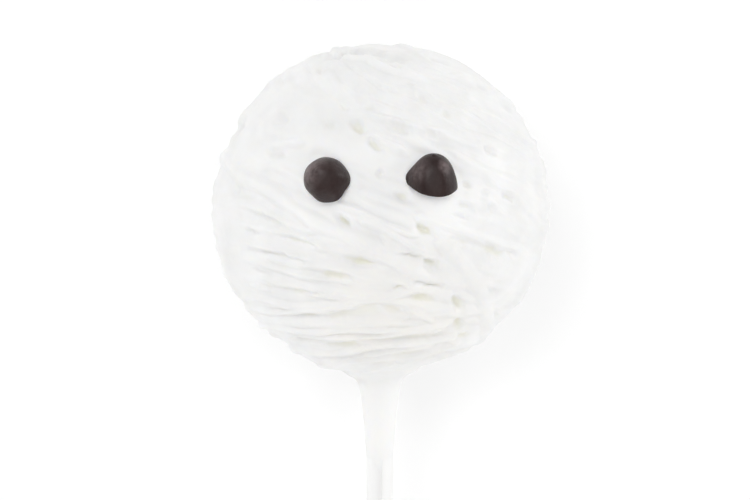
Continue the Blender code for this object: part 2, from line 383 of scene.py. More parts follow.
def back_strands():
    """Rows of strands across the back, from the crown to the stick."""
    chance = random.Random(BACK_SEED)
    rows = []
    for n in range(BACK_STRANDS):
        offset = BACK_SPAN - 2 * BACK_SPAN * n / (BACK_STRANDS - 1)
        slope = chance.uniform(-BACK_SLOPE, BACK_SLOPE / 2)
        lean = chance.uniform(-BACK_LEAN, BACK_LEAN)
        start, end = (edge + chance.uniform(-BACK_STAGGER, BACK_STAGGER) for edge in BACK_SWEEP)
        width = chance.uniform(*BACK_WIDTH)
        height = chance.uniform(*BACK_HEIGHT)
        rows.append(Strand(slope, lean, offset, start, end, width, height))
    return rows


# Face strands. The strands of the same coating that show on the face, each laid where the hand that held
# the bag put it, in the order in which they cross each other.
FACE_STRANDS = [
    # over the crown and down its left side
    Strand(-51, 5, 3.8, 112, 214, 2.2, 0.4),
    Strand(-38, 6, 11.2, 112, 206, 2.2, 0.4),
    Strand(-20, 3, 17.0, 44, 206, 1.5, 0.7),
    Strand(-11, 4, 18.2, 30, 190, 1.1, 0.6),
    Strand(-26, 4, 17.2, 60, 160, 0.9, 0.6),
    Strand(-25, 6, 15.0, 92, 150, 0.9, 0.6),
    Strand(10, 11, 12.0, 106, 204, 1.4, 0.6),
    Strand(-44, 6, 7.9, 114, 208, 2.8, 0.55),
    Strand(-55, 5, 0.4, 124, 226, 2.0, 0.4),
    # brow, falling to the right
    Strand(-30, 1, 14.8, -14, 120, 1.5, 0.6),
    Strand(-32, 3, 16.8, -20, 92, 1.5, 0.7),
    Strand(-38, 3, 14.6, -24, 70, 1.4, 0.6),
    Strand(-27, 3, 13.4, 16, 112, 1.6, 0.7),
    Strand(-24, 2, 11.3, -20, 96, 1.5, 0.5),
    Strand(-15, -2, 9.3, -24, 116, 1.6, 0.7),
    Strand(-30, 4, 7.9, 82, 116, 1.7, 0.8),
    Strand(-23, -4, 7.7, -10, 84, 1.7, 0.7),
    Strand(-42, 3, 12.0, -14, 78, 1.7, 0.7),
    # left cheek
    Strand(7, 4, 5.4, 124, 226, 1.6, 0.6),
    Strand(-8, 7, 8.9, 122, 214, 1.5, 0.6),
    Strand(-15, 9, 6.5, 122, 218, 1.8, 0.6),
    Strand(-5, 5, 4.5, 124, 236, 1.6, 0.6),
    Strand(0, 3, 2.0, 128, 230, 1.5, 0.5),
    # across the middle, falling to the right under the chips
    Strand(-16, 2, 3.6, 68, 112, 1.8, 0.5),
    Strand(-21, -2, -2.6, 66, 112, 1.3, 0.6),
    Strand(-24, 5, -1.0, 62, 104, 1.4, 0.7),
    Strand(-36, 4, 8.8, -44, 70, 1.7, 0.7),
    Strand(-28, 2, 5.6, -40, 62, 1.5, 0.6),
    Strand(-7, -12, -3.9, -10, 84, 1.5, 0.6),
    Strand(-18, -3, -0.9, -36, 88, 1.7, 0.8),
    Strand(-18, 5, -2.2, -28, 60, 1.7, 0.7),
    Strand(-12, 2, -5.6, -34, 58, 1.5, 0.6),
    Strand(-6, -1, -8.5, -40, 60, 1.7, 0.7),
    Strand(-2, 0, -11.0, -40, 56, 1.6, 0.6),
    # fan that wraps the left and runs together at the lower right
    Strand(-23, -4, -7.5, 98, 206, 1.3, 0.6),
    Strand(-16, 0, -6.6, 93, 228, 1.5, 0.7),
    Strand(-13, 1, -8.0, 100, 196, 1.2, 0.7),
    Strand(-12, 2, -9.4, 84, 242, 1.5, 0.8),
    Strand(-2, 8, -8.6, 94, 214, 1.5, 0.7),
    Strand(-1, 6, -10.8, 88, 236, 1.5, 0.8),
    Strand(2, 2, -12.1, 100, 214, 1.3, 0.7),
    Strand(2, 4, -14.0, 48, 226, 1.6, 0.8),
    Strand(3, 2, -15.2, 50, 214, 1.3, 0.6),
    Strand(8, 6, -15.8, 40, 212, 1.5, 0.7),
    Strand(8, 1, -17.6, 30, 240, 1.6, 0.7),
    Strand(9, 4, -18.8, 0, 228, 1.5, 0.7),
]

geometry = drizzle.with_height(drizzle.given["Geometry"], 0.0)
geometry = lay(geometry, first_strands() + back_strands() + FACE_STRANDS)

# Pools. Patches of the face where the coating was still soft, so that it flowed together and flooded the
# strands. They keep a soft trace of the relief that was there.
POOL_BLUR = 60
POOL_EDGE = (0.5, 1.2)
FACE_RIM = (-0.3, 0.1)

# right, up: mm from the middle of the face as the camera sees it. length, width: mm across the oval.
# turn: degrees that it climbs to the right. depth: how far the strands' height goes, 1 for all of it.
Patch = namedtuple("Patch", "right up length width turn depth")
PATCH_SIZES = ("Right", "Up", "Length", "Width", "Turn", "Depth")
POOLS = [
    Patch(-0.6, 4.4, 12.0, 8.0, -20, 0.65),
    Patch(-6.1, 9.9, 15.0, 9.0, -30, 0.8),
    Patch(-15.2, 6.8, 9.0, 11.0, 0, 0.7),
    Patch(15.2, 1.9, 15.0, 16.0, 0, 0.6),
    Patch(14.6, -6.6, 11.0, 6.0, -25, 0.6),
    Patch(7.3, -1.1, 9.0, 4.0, -20, 0.7),
    Patch(-11.6, 13.5, 11.0, 9.0, -45, 0.4),
    Patch(-18.0, 9.5, 9.0, 14.0, 25, 0.8),
    Patch(-14.0, -6.0, 15.0, 14.0, -10, 0.3),
    Patch(-19.5, -3.0, 7.0, 30.0, 5, 0.8),
    Patch(18.5, -9.0, 8.0, 16.0, -25, 0.6),
    Patch(10.0, 11.0, 17.0, 14.0, -30, 0.3),
]


def patch_share(tree, edge, ragged=None):
    """How much a patch changes a point: by its depth inside an oval on the face, and not at all outside."""
    given, math_ = tree.given, tree.math
    spot = tree.read("spot", "FLOAT_VECTOR")
    middle = tree.node("ShaderNodeCombineXYZ", given["Right"], given["Up"], 0.0)
    away = tree.node("ShaderNodeVectorMath", spot, middle, operation="SUBTRACT")
    along, across, _ = tree.parts(tree.turned_back(away, 0.0, 0.0, given["Turn"]))
    u, v = math_("DIVIDE", along, given["Length"]), math_("DIVIDE", across, given["Width"])
    far = math_("SQRT", math_("ADD", math_("MULTIPLY", u, u), math_("MULTIPLY", v, v)))
    far = math_("MULTIPLY", far, 2.0)
    if ragged:
        scale, detail, size = ragged
        noise = tree.node("ShaderNodeTexNoise", spot, scale, detail)
        far = math_("ADD", far, math_("MULTIPLY", math_("SUBTRACT", noise, 0.5), size))
    near = tree.spread(far, *edge, 1.0, 0.0, interpolation_type="SMOOTHSTEP")
    on_face = tree.spread(tree.front(), *FACE_RIM, 0.0, 1.0)
    return math_("MULTIPLY", math_("MULTIPLY", near, given["Depth"]), on_face)


def pool_tree():
    """Smooths the coating's height inside an oval on the face."""
    tree = Shaping("pool", PATCH_SIZES)
    height = tree.read("height")
    smooth = tree.node("GeometryNodeBlurAttribute", height, POOL_BLUR)
    share = patch_share(tree, POOL_EDGE)
    flooded = tree.math("MULTIPLY_ADD", share, tree.math("SUBTRACT", smooth, height), height)
    return tree.end(tree.with_height(tree.given["Geometry"], flooded))


def patched(geometry, group, patches):
    """Puts patches of one kind on the face, one after another."""
    for patch in patches:
        geometry = drizzle.use(group, geometry, Right=patch.right, Up=patch.up, Length=patch.length,
                               Width=patch.width, Turn=math.radians(patch.turn), Depth=patch.depth)
    return geometry


geometry = patched(geometry, pool_tree(), POOLS)

# Hollows. Gaps between the strands, where the drizzle missed and the bare coating shows deep down. Each
# is an oval with a ragged edge, which a depth of 1 wears down to the floor, and a greater one further.
HOLLOW_FLOOR = -0.2
HOLLOW_EDGE = (0.1, 1.5)
# fineness and detail of the noise that makes the edge ragged, and how far it moves the edge
HOLLOW_RAGGED = (0.7, 3.0, 1.6)
HOLLOWS = [
    # broad shallow gaps
    Patch(-1.5, -3.2, 6.0, 2.6, -28, 0.55),
    Patch(11.0, -6.0, 5.5, 2.2, -15, 0.4),
    Patch(-2.0, -12.9, 5.5, 2.0, 12, 0.5),
    Patch(3.4, 10.4, 5.5, 2.0, -30, 0.35),
    # crown
    Patch(-4.3, 19.2, 2.2, 0.9, 8, 1.5),
    Patch(-2.8, 19.2, 2.4, 1.2, -4, 1.9),
    Patch(-0.4, 18.9, 3.0, 1.3, -8, 1.9),
    Patch(2.0, 18.2, 3.8, 1.4, -5, 1.1),
    Patch(-5.5, 18.3, 2.6, 0.7, 20, 1.1),
    Patch(7.0, 18.0, 3.0, 0.8, -15, 1.0),
    Patch(12.8, 14.8, 3.2, 1.0, -42, 0.7),
    Patch(16.2, 11.9, 2.6, 0.8, -42, 0.7),
    Patch(-7.0, 16.4, 1.6, 1.0, -30, 0.8),
    # brow
    Patch(-2.8, 9.4, 2.0, 1.2, -28, 1.6),
    Patch(-1.0, 11.8, 1.9, 0.9, 0, 0.7),
    Patch(-4.4, 11.9, 1.4, 0.8, -45, 0.8),
    Patch(-6.1, 9.7, 1.6, 1.1, -10, 0.7),
    Patch(-0.6, 7.1, 2.4, 1.1, -40, 1.1),
    Patch(2.2, 9.1, 3.2, 1.6, -25, 0.8),
    Patch(6.3, 8.3, 2.4, 1.2, -20, 0.55),
    Patch(8.0, 11.2, 1.4, 1.1, -40, 0.7),
    Patch(5.2, 13.1, 1.9, 1.1, -45, 0.7),
    Patch(13.0, 6.6, 1.9, 1.0, -30, 0.7),
    Patch(-12.2, 10.7, 1.7, 1.7, 0, 0.8),
    Patch(-12.3, 6.1, 2.0, 1.0, -15, 0.9),
    Patch(-17.6, 9.7, 2.4, 1.4, 60, 1.1),
    # between the chips and beside them
    Patch(0.0, 3.7, 0.8, 1.0, 0, 0.8),
    Patch(2.7, 0.9, 1.6, 1.0, -35, 1.3),
    Patch(10.5, 2.4, 1.0, 0.8, -20, 0.9),
    Patch(9.9, -0.1, 3.0, 0.9, -15, 0.8),
    Patch(9.5, -1.4, 2.0, 0.7, -20, 0.7),
    Patch(15.7, 0.9, 1.9, 1.1, -30, 0.9),
    Patch(12.6, 1.4, 1.0, 0.8, -30, 0.6),
    Patch(13.4, -0.5, 0.8, 1.3, 0, 0.6),
    Patch(-17.3, 2.0, 0.7, 1.1, 0, 0.6),
    # across the middle
    Patch(5.4, -3.1, 3.0, 1.2, -33, 1.7),
    Patch(-2.4, -6.95, 4.4, 1.0, -11, 1.45),
    Patch(3.2, -6.4, 3.6, 0.9, -8, 1.2),
    Patch(6.1, -7.1, 2.4, 1.1, -26, 1.3),
    Patch(-4.4, -2.1, 2.6, 1.0, -45, 1.5),
    Patch(-1.0, -4.1, 2.9, 0.9, -25, 1.3),
    Patch(9.6, -4.5, 4.4, 0.9, -8, 0.7),
    Patch(13.9, -5.7, 3.6, 1.5, -32, 1.15),
    Patch(15.8, -5.8, 2.0, 0.8, -20, 0.8),
    # lower right
    Patch(5.9, -9.7, 3.2, 0.9, -8, 1.3),
    Patch(9.5, -12.1, 2.2, 1.3, -70, 1.4),
    Patch(2.4, -10.2, 1.6, 0.8, -3, 1.2),
    Patch(4.9, -11.4, 3.2, 1.1, -5, 1.4),
    Patch(1.2, -12.8, 2.4, 0.8, -18, 1.2),
    Patch(3.8, -14.0, 2.1, 0.7, 2, 0.7),
    Patch(9.7, -14.8, 1.7, 1.2, 60, 1.4),
    Patch(10.3, -16.3, 1.5, 1.1, 10, 1.0),
    Patch(7.6, -17.1, 2.6, 0.8, 12, 1.0),
    Patch(13.7, -13.1, 2.2, 0.9, -60, 1.2),
    Patch(13.3, -10.5, 2.2, 0.8, -15, 0.5),
    Patch(3.5, -18.5, 6.0, 0.6, 8, 0.8),
    Patch(6.2, -18.9, 4.5, 0.6, 14, 0.8),
    Patch(0.5, -19.8, 7.0, 0.6, 3, 0.8),
    # fan
    Patch(-14.2, -1.6, 4.5, 0.8, -20, 0.8),
    Patch(-15.6, -3.3, 1.9, 0.7, -15, 0.7),
    Patch(-10.1, -4.4, 5.0, 0.9, -16, 0.9),
    Patch(-13.5, -6.0, 6.6, 0.9, -10, 0.9),
    Patch(-9.6, -6.8, 2.7, 0.7, -10, 0.7),
    Patch(-5.6, -8.7, 5.0, 1.1, -12, 1.1),
    Patch(-14.8, -8.2, 2.7, 0.7, -20, 0.7),
    Patch(-10.4, -10.5, 11.5, 0.8, -8, 0.9),
    Patch(-8.8, -13.5, 1.9, 0.7, 0, 0.9),
    Patch(-5.3, -13.6, 2.6, 1.0, 15, 0.9),
    Patch(-9.4, -16.6, 3.8, 0.8, -4, 1.3),
    Patch(-4.6, -17.3, 5.5, 0.7, 0, 1.2),
    Patch(1.9, -16.5, 11.5, 0.7, 4, 0.8),
    Patch(-7.3, -19.3, 3.6, 0.7, 0, 0.9),
    Patch(-2.5, -19.0, 4.2, 0.7, 4, 0.9),
]


def hollow_tree():
    """Wears the strands' height away inside a ragged oval on the face."""
    tree = Shaping("hollow", PATCH_SIZES)
    height = tree.read("height")
    share = patch_share(tree, HOLLOW_EDGE, HOLLOW_RAGGED)
    worn = tree.math("MULTIPLY_ADD", share, tree.math("SUBTRACT", HOLLOW_FLOOR, height), height)
    return tree.end(tree.with_height(tree.given["Geometry"], worn))


geometry = patched(geometry, hollow_tree(), HOLLOWS)

# Last strands. Laid over the pools and hollows from the same bag: the thick diagonal under the left chip,
# and strands that cross the lower right.
LAST_STRANDS = [
    Strand(-60, 0, 2.6, 118, 160, 2.6, 0.5),
    Strand(-32, 0, 12.4, 102, 144, 1.3, 0.55),
    Strand(-28, 0, 16.1, 86, 132, 1.3, 0.55),
    Strand(-40, 0, 14.2, 96, 120, 1.2, 0.5),
    Strand(15, 2, -10.2, 72, 122, 1.5, 0.5),
    Strand(-27, 6, -3.0, 58, 212, 2.7, 0.75),
    Strand(-20, 3, -5.2, 52, 98, 1.8, 0.6),
    Strand(-32, 3, -8.0, 38, 70, 1.5, 0.6),
    Strand(-43, -16, -3.2, -30, 73, 3.0, 0.65),
]
geometry = lay(geometry, LAST_STRANDS)

# Chip seats. Each chip was pressed on while the coating was soft, so the coating is flat below it and
# stands up against its rim. The leaning chip's foot is lifted on one side, with coating pushed up below.
SEAT_LEVEL = 0.15
MOUND = (7.2, 1.2, 19.6)
MOUND_RADIUS = 2.2
MOUND_LEVEL = 1.2
# shares of the radius out to which the coating is level, and past which the strands are as they were
SEAT_EDGE = (0.8, 1.35)
MOUND_EDGE = (0.2, 1.6)

# base: mm from the ball's centre to the middle of the chip's foot. axis: where its point looks. seat: mm
# to the right and up on the face. bumps: degrees round the chip, degrees that each one spreads, and the
# share of the radius that it stands out.
Chip = namedtuple("Chip", "name base radius height axis seat bumps")
CHIPS = [
    Chip("chip_left", (-6.4, 2.72, 19.3), 2.9, 3.7, (-0.30, 0.40, 0.866), (-6.4, 2.9),
         [(112, 10, -0.03), (85, 20, 0.08), (4, 38, -0.12), (188, 22, -0.06), (306, 19, 0.07)]),
    Chip("chip_right", (6.34, 2.4, 19.7), 3.0, 4.1, (0.06, 0.858, 0.51), (6.3, 2.8),
         [(-2, 10, 0.24), (40, 26, -0.05), (118, 34, 0.14), (165, 14, 0.04)]),
]


def seat_tree():
    """Levels the coating's height round a chip."""
    tree = Shaping("chip_seat", ("Right", "Up", "Front", "Radius", "Level", "Full", "Gone"))
    given, math_ = tree.given, tree.math
    middle = tree.node("ShaderNodeCombineXYZ", given["Right"], given["Up"], given["Front"])
    far = tree.node("ShaderNodeVectorMath", tree.read("spot", "FLOAT_VECTOR"), middle, operation="DISTANCE")
    share = math_("DIVIDE", far, given["Radius"])
    near = tree.spread(share, given["Full"], given["Gone"], 1.0, 0.0, interpolation_type="SMOOTHSTEP")
    height = tree.read("height")
    bed = math_("ADD", given["Level"], math_("DIVIDE", math_("MULTIPLY", far, far), 2 * BALL_ROUND))
    level = math_("MULTIPLY_ADD", near, math_("SUBTRACT", bed, height), height)
    return tree.end(tree.with_height(given["Geometry"], level))


seat_group = seat_tree()


def seated(geometry, place, radius, level, edge):
    """Levels the coating round one place on the ball."""
    return drizzle.use(seat_group, geometry, Right=place[0], Up=place[1], Front=place[2], Radius=radius,
                       Level=level, Full=edge[0], Gone=edge[1])


for chip in CHIPS:
    right, up = chip.seat
    place = (right, up, math.sqrt(BALL_ROUND ** 2 - right ** 2 - up ** 2))
    geometry = seated(geometry, place, chip.radius, SEAT_LEVEL, SEAT_EDGE)
geometry = seated(geometry, MOUND, MOUND_RADIUS, MOUND_LEVEL, MOUND_EDGE)

# Coating's finish. White candy coating sets satin and lets a little light in. It is creamier where it is
# thin over the cake, and its hollows carry painted shade, cream near the middle of the face and grey
# towards the rim. It is warmer just above the collar, with painted light on the collar against the ball's
# shadow, and round the chips against the shade that they cast.
COATING_WHITE = (0.912, 0.912, 0.909, 1)
COATING_WARM = (0.9, 0.879, 0.843, 1)
COATING_DULL = (0.845, 0.845, 0.838, 1)
# whiter than the coating: painted light round the chips, over the shade that they cast
CHIP_RING_PAINTED_LIGHT = (0.953, 0.953, 0.948, 1)
# a touch whiter than the coating: painted light on the collar, over the ball's shadow
COLLAR_PAINTED_LIGHTER = (0.918, 0.917, 0.908, 1)
# cream of the thin coating over the cake, darkened as painted shade, for the hollows near the middle
THIN_CREAM_AND_SHADE = (0.82, 0.81, 0.68, 1)
# grey painted shade for the hollows towards the rim
HOLLOW_PAINTED_SHADE_GREY = (0.74, 0.74, 0.735, 1)
# heights in mm over the bare skin at which the coating is thinnest and the hollows' painted shade is full,
# and at which it is no longer thin and has none
THIN_AND_SHADED_HEIGHT = (-0.3, 0.0)
# middles of the patches and distances from them, in metres
# middle and reach where the hollows' colour goes from cream to grey painted shade
CREAM_TO_GREY_SHADE_MIDDLE = (0.003, -0.004, 0.0)
CREAM_TO_GREY_SHADE_REACH = (0.0145, 0.0185)
WARM_MIDDLE = (0.003, -0.016, 0.034)
WARM_REACH = (0.004, 0.016)
CHIP_RING_LIGHT_REACH = (0.003, 0.0085)
# the collar's stretch painted whiter as light against the ball's shadow, from fully whiter to not at all, in
# metres up from the ball's middle
COLLAR_LIGHTER_STRETCH = (-0.0235, -0.02)
# mm that the patches of painted light round the chips lie below the chips' seats, and above the ball's
# centre
CHIP_RING_LIGHT_DROP = 0.4
CHIP_RING_LIGHT_FRONT = 19.6
# what the noise is stretched from, as it seldom goes past these
NOISE_USUAL = (0.3, 0.7)


class Look(Nodes):
    """A material's nodes, added one at a time round its Principled BSDF."""

    def __init__(self, name):
        self.material = bpy.data.materials.new(name)
        self.material.use_nodes = True
        super().__init__(self.material.node_tree)
        self.shader = self.tree.nodes["Principled BSDF"]

    def place(self):
        return self.tree.nodes.new("ShaderNodeTexCoord").outputs["Object"]

    def attribute(self, name):
        return self.node("ShaderNodeAttribute", attribute_name=name).node.outputs["Fac"]

    def far(self, place, middle):
        """Distance of a place from the middle of a patch, in metres."""
        return self.node("ShaderNodeVectorMath", place, middle, operation="DISTANCE").node.outputs["Value"]

    def noise(self, size, detail, low=0.0, high=1.0, stretch=(1, 1, 1)):
        """Noise with features of a size in metres, spread over a range of values."""
        spot = self.node("ShaderNodeMapping", self.place(), None, None, stretch)
        grain = self.node("ShaderNodeTexNoise", spot, 1 / size, detail)
        return self.spread(grain, *NOISE_USUAL, low, high)

    def mixed(self, share, colour, other):
        return self.node("ShaderNodeMix", share, colour, other, data_type="RGBA")

    def set(self, name, value):
        socket = self.shader.inputs[name]
        if isinstance(value, bpy.types.NodeSocket):
            self.tree.links.new(value, socket)
        else:
            socket.default_value = value

    def bumpy(self, strength, depth, height):
        """Roughens the surface by a height, which is a depth in metres at 1."""
        self.set("Normal", self.node("ShaderNodeBump", strength, depth, None, height))


def coating_look():
    """Satin white coating, with painted shade in its hollows and painted light round the chips and on the
    collar.
    """
    look = Look("white_coating")
    # where the coating lies lowest, in the hollows, its cream and painted shade go on in patches
    thin = look.spread(look.attribute("height"), *THIN_AND_SHADED_HEIGHT, 1.0, 0.0)
    cream_and_shade_share = look.math("MULTIPLY", thin, look.noise(0.006, 3, low=0.4))
    on_face = look.node("ShaderNodeMapping", look.place(), None, None, (1, 1, 0))
    # the hollows go from cream with painted shade near the middle of the face to grey painted shade towards
    # the rim
    edge = look.spread(look.far(on_face, CREAM_TO_GREY_SHADE_MIDDLE), *CREAM_TO_GREY_SHADE_REACH, 0.0, 1.0)
    bare = look.mixed(edge, THIN_CREAM_AND_SHADE, HOLLOW_PAINTED_SHADE_GREY)
    warm = look.spread(look.far(look.place(), WARM_MIDDLE), *WARM_REACH, 1.0, 0.0)
    # painted light round each chip, lifting the shade that it casts on the coating
    bright = []
    for chip in CHIPS:
        right, up = chip.seat
        middle = (right * MM, (up - CHIP_RING_LIGHT_DROP) * MM, (BALL_HEIGHT + CHIP_RING_LIGHT_FRONT) * MM)
        bright.append(look.spread(look.far(look.place(), middle), *CHIP_RING_LIGHT_REACH, 1.0, 0.0))
    body = look.mixed(warm, COATING_WHITE, COATING_WARM)
    body = look.mixed(look.noise(0.0045, 4), body, COATING_DULL)
    body = look.mixed(look.math("MAXIMUM", *bright), body, CHIP_RING_PAINTED_LIGHT)
    # the collar painted whiter, as light against the ball's shadow on it
    to_crown = look.node("ShaderNodeSeparateXYZ", look.place()).node.outputs["Y"]
    body = look.mixed(look.spread(to_crown, *COLLAR_LIGHTER_STRETCH, 1.0, 0.0), body, COLLAR_PAINTED_LIGHTER)
    look.set("Base Color", look.mixed(cream_and_shade_share, body, bare))
    look.set("Roughness", look.noise(0.004, 3, low=0.38, high=0.52))
    look.set("Subsurface Weight", 0.25)
    look.set("Subsurface Radius", (1.0, 0.85, 0.6))
    look.set("Subsurface Scale", 0.0008)
    look.set("IOR", 1.46)
    look.bumpy(0.25, 0.00012, look.noise(0.0011, 4))
    return look.material


# Set coating. Ball, collar, strands, pools and seats set as one white skin, which is raised by the height
# built up so far, a little more on the face, slightly uneven all over, and flat where the ball rests.
FACE_EDGE = (0.2, 0.7)
RELIEF = 1.0
FACE_RELIEF = 1.3
UNEVENNESS = 0.4
LUMP_FINENESS = 240.0
LUMP_DETAIL = 2.0


def set_coating(geometry):
    """Ends the coating's tree: pushes the skin out by its height, and gives it its material."""
    given, math_ = drizzle.given, drizzle.math
    facing = drizzle.spread(drizzle.front(), *FACE_EDGE, 1.0, given["Face relief"])
    height = math_("MULTIPLY", drizzle.read("height"), math_("MULTIPLY", facing, given["Relief"]))
    place = drizzle.node("GeometryNodeInputPosition")
    lumps = drizzle.node("ShaderNodeTexNoise", place, LUMP_FINENESS, LUMP_DETAIL)
    uneven = math_("MULTIPLY", math_("SUBTRACT", lumps, 0.5), given["Unevenness"])
    rise = math_("MULTIPLY", math_("ADD", height, uneven), math_("MULTIPLY", drizzle.read("grip"), MM))
    normal = drizzle.node("GeometryNodeInputNormal")
    out = drizzle.node("ShaderNodeVectorMath", normal, rise, operation="SCALE")
    geometry = drizzle.node("GeometryNodeSetPosition", geometry, None, None, out)
    x, y, z = drizzle.parts(drizzle.node("GeometryNodeInputPosition"))
    flat = drizzle.node("ShaderNodeCombineXYZ", x, y, math_("MAXIMUM", z, 0.0))
    geometry = drizzle.node("GeometryNodeSetPosition", geometry, None, flat)
    geometry = drizzle.node("GeometryNodeRealizeInstances", geometry)
    return drizzle.end(drizzle.node("GeometryNodeSetMaterial", geometry, None, coating_look()))


def grow(item, group, sizes):
    """Runs a tree on an object and keeps the result as its plain mesh."""
    step = item.modifiers.new("grow", "NODES")
    step.node_group = group
    for socket in group.interface.items_tree:
        if socket.in_out == "INPUT" and socket.name in sizes:
            step[socket.identifier] = sizes[socket.name]
    result = bpy.data.meshes.new_from_object(item.evaluated_get(bpy.context.evaluated_depsgraph_get()))
    item.modifiers.clear()
    item.data = result
    result.shade_smooth()


sizes = {"Relief": RELIEF, "Face relief": FACE_RELIEF, "Unevenness": UNEVENNESS}
grow(coating, set_coating(geometry), sizes)
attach(coating, "root")
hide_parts("coated_ball")

# Chocolate chips. Dark chocolate dropped on a belt: a flared foot with a few flat spots where neighbours
# touched, full shoulders, and a small curled point where the drop was cut off. A grey bloom dulls them.
CHIP_SIDES = 96
CHIP_RINGS = 56
CHIP_SHOULDER = 1.8
CHIP_TAPER = 0.56
CHIP_RIM = 0.3
CHIP_RIM_LIFT = 0.18
CHIP_RIM_SHARE = 0.12
CHIP_POINT = 0.34
CHIP_POINT_LEAN = 0.22
CHIP_POINT_RISE = 0.12
CHIP_WAVES = (2, 3, 4, 5, 7)
CHIP_WAVE_SIZE = (0.004, 0.012)
CHIP_SEED = 41
COCOA = (0.0135, 0.0028, 0.0022, 1)
COCOA_DULL = (0.0285, 0.0122, 0.0107, 1)
# grey that the patches paint: the left chip's bloom, and painted sheen and highlight
BLOOM_AND_PAINTED_SHEEN = (0.175, 0.132, 0.132, 1)
BLOOM_AND_SHEEN_CORE = 0.0004
# patches on the chips' shoulders, the left chip's of thick bloom and painted sheen, the right chip's of
# painted sheen and a painted highlight: middle and reach in metres, and how strongly each is painted
BLOOM_AND_PAINTED_SHEEN_PATCHES = [
    # left chip's upper left shoulder: thick bloom, with painted sheen
    ((-0.0086, 0.0042, 0.0413), 0.0027, 1.0),
    # right chip's left flank: painted sheen, a reflection of the white coating
    ((0.0043, 0.0042, 0.0422), 0.0022, 0.6),
    # right chip's right flank: painted highlight streak
    ((0.0081, 0.0047, 0.0426), 0.0013, 1.0),
]


def chip_profile(chip, share):
    """Radius and height of the drop at a share of its outline: a rounded foot, then full shoulders."""
    if share < CHIP_RIM_SHARE:
        bend = share / CHIP_RIM_SHARE * math.pi / 2
        return chip.radius - CHIP_RIM * (1 - math.sin(bend)), CHIP_RIM_LIFT * (1 - math.cos(bend))
    up = math.sin(math.pi / 2 * (share - CHIP_RIM_SHARE) / (1 - CHIP_RIM_SHARE))
    wide = chip.radius * (1 - up ** CHIP_SHOULDER) ** CHIP_TAPER
    return wide, CHIP_RIM_LIFT + (chip.height - CHIP_RIM_LIFT) * up


def chip_rings(chip, number):
    """Rings of points up the drop, pushed in and out by its bumps, with a point that leans at the top."""
    chance = random.Random(CHIP_SEED + number)
    waves = [(n, chance.uniform(*CHIP_WAVE_SIZE), chance.uniform(0, math.tau)) for n in CHIP_WAVES]
    rings = []
    for ring in range(CHIP_RINGS + 1):
        wide, along = chip_profile(chip, ring / CHIP_RINGS)
        low = 1 - along / chip.height
        tip = max(0, 1 - wide / CHIP_POINT)
        points = []
        for side in range(CHIP_SIDES):
            angle = math.tau * side / CHIP_SIDES
            push = sum(size * math.sin(n * angle + phase) for n, size, phase in waves)
            for place, spread, size in chip.bumps:
                off = (math.degrees(angle) - place + 180) % 360 - 180
                push += size * math.exp(-(off / spread) ** 2) * low ** 2
            reach = wide * (1 + push)
            point = Vector((reach * math.cos(angle), reach * math.sin(angle), along))
            point.x += CHIP_POINT_LEAN * tip
            point.z += CHIP_POINT_RISE * tip
            points.append(point)
        rings.append(points)
    return rings


def skinned(shape, loops, first, last):
    """Joins each loop of points to the next, and closes both ends round their middle points."""
    sides = range(len(loops[0]))
    for low, high in zip(loops, loops[1:]):
        for n in sides:
            m = (n + 1) % len(sides)
            shape.faces.new((low[n], low[m], high[m], high[n]))
    for loop, middle in ((loops[0], first), (loops[-1], last)):
        for n in sides:
            shape.faces.new((loop[n], loop[(n + 1) % len(sides)], middle))


def smooth_mesh(shape, name):
    """Turns the faces outwards and keeps the shape as a smooth mesh."""
    bmesh.ops.recalc_face_normals(shape, faces=shape.faces)
    mesh = bpy.data.meshes.new(name)
    shape.to_mesh(mesh)
    shape.free()
    mesh.shade_smooth()
    return mesh


def chip_mesh(chip, number):
    """A chip in its place on the ball."""
    turn = Vector(chip.axis).to_track_quat("Z", "Y").to_matrix()
    start = Vector(chip.base) + Vector(BALL_CENTRE)
    shape = bmesh.new()

    def placed(point):
        return shape.verts.new((start + turn @ point) * MM)

    rings = chip_rings(chip, number)
    loops = [[placed(point) for point in ring] for ring in rings[:-1]]
    skinned(shape, loops, placed(Vector()), placed(rings[-1][0]))
    return smooth_mesh(shape, "chocolate_" + chip.name)


def chocolate_look():
    """Dark chocolate, dulled by a mottled grey bloom, with patches of painted sheen and a painted highlight.
    """
    look = Look("dark_chocolate")
    bloom = look.math("MULTIPLY", look.noise(0.0022, 4), look.noise(0.0005, 3, low=0.4))
    cocoa = look.mixed(bloom, COCOA, COCOA_DULL)
    # mottled patches of bloom, painted sheen and a painted highlight
    for middle, reach, share in BLOOM_AND_PAINTED_SHEEN_PATCHES:
        near = look.spread(look.far(look.place(), middle), BLOOM_AND_SHEEN_CORE, reach, share, 0.0)
        mottled = look.math("MULTIPLY", near, look.noise(0.0007, 3, low=0.35))
        cocoa = look.mixed(mottled, cocoa, BLOOM_AND_PAINTED_SHEEN)
    look.set("Base Color", cocoa)
    look.set("Roughness", look.noise(0.0012, 3, low=0.34, high=0.54))
    look.set("Specular IOR Level", 0.38)
    look.bumpy(0.35, 0.00006, look.noise(0.00035, 4))
    return look.material


chocolate = chocolate_look()
for number, chip in enumerate(CHIPS):
    mesh = chip_mesh(chip, number)
    mesh.materials.append(chocolate)
    item = shown("chocolate_" + chip.name, mesh)
    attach(item, "root")
    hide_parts(chip.name)

# Stick. White paper rolled tight into a rod and cut square: the last turn's edge runs along it as a low
# step, and the turns show as a spiral at the cut end. It is pushed in as far as the middle of the ball.
STICK_SIDES = 120
STICK_ROWS = 80
STICK_CHAMFER = 0.12
STICK_SHARP = math.radians(40)
SEAM_STEP = 0.28
SEAM_ANGLE = math.radians(79)
SEAM_SPAN = math.radians(48)
SEAM_TWIST = math.radians(10)
PAPER_TURNS = 7
GROOVE_DEPTH = 0.03
END_RINGS = 40
END_DIP = 0.08
PAPER_GREY = (0.915, 0.91, 0.9, 1)
PAPER_WHITE = (0.945, 0.945, 0.94, 1)
SEAM_SHADE = (0.872, 0.868, 0.862, 1)


